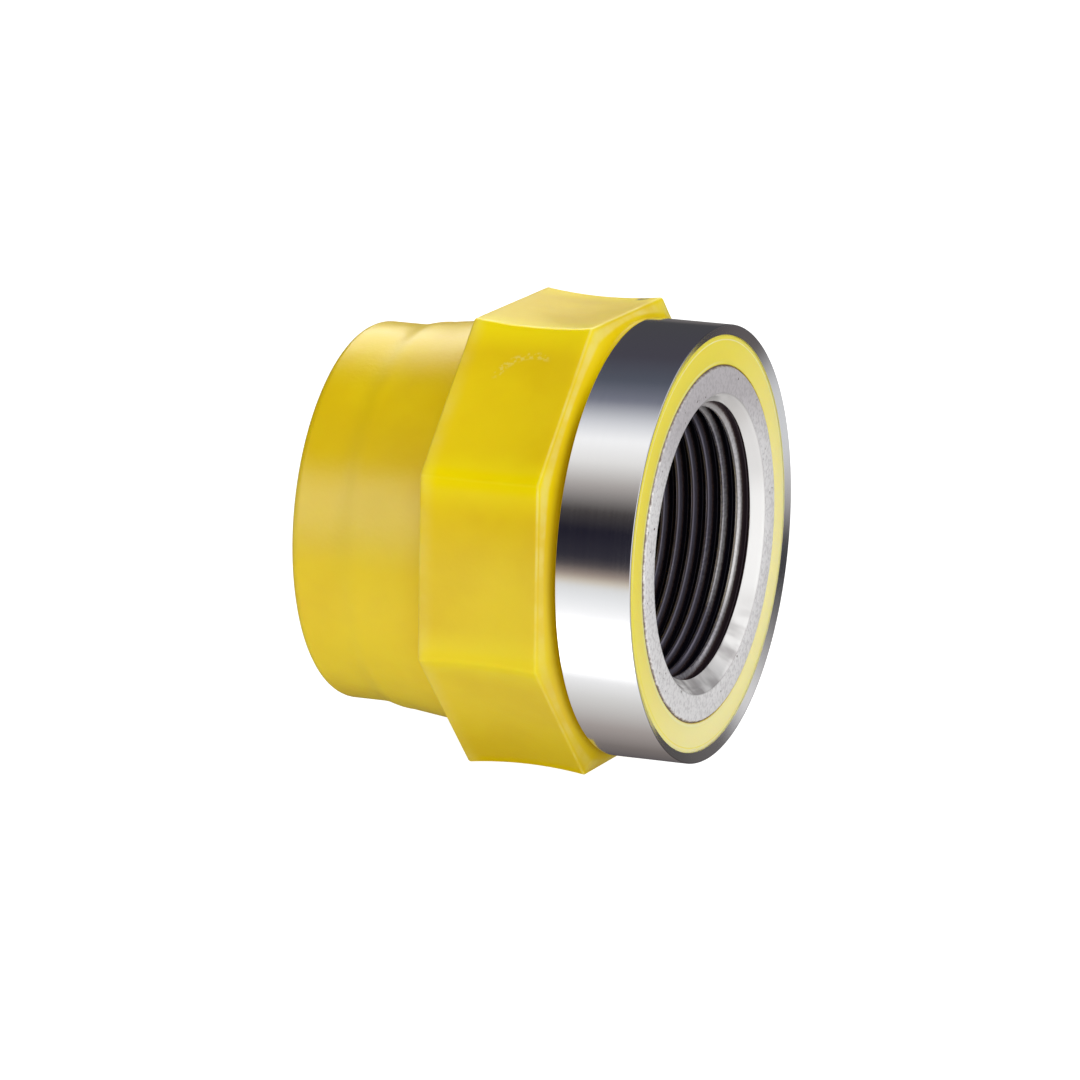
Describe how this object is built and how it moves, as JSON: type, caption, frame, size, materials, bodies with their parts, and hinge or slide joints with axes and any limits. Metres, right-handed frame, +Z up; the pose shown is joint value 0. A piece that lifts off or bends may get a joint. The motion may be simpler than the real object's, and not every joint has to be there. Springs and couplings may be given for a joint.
{
  "type": "pe female adapter",
  "caption": "Moulded yellow polyethylene pipe adapter with an octagonal grip, a plain fusion socket, and a metal insert with a female pipe thread held by a steel clamp ring.",
  "frame": {"origin": "on the pipe axis, where the countersink of the threaded insert meets its bore", "axes": "+X along the pipe axis, out of the threaded mouth; +Z up, square to one flat of the octagonal grip; the opposite flat, towards -Z, is the one that it rests on"},
  "size_m": [0.0539, 0.0648, 0.0648],
  "materials": {
    "polyethylene": "moulded yellow polyethylene, satin, slightly translucent",
    "ring_steel": "polished stainless steel",
    "insert_metal": "nickel plated, bead-blasted face and bright countersink"
  },
  "bodies": {
    "root": {"plastic_body": "polyethylene", "clamp_ring": "ring_steel", "threaded_insert": "insert_metal"}
  },
  "joints": []
}
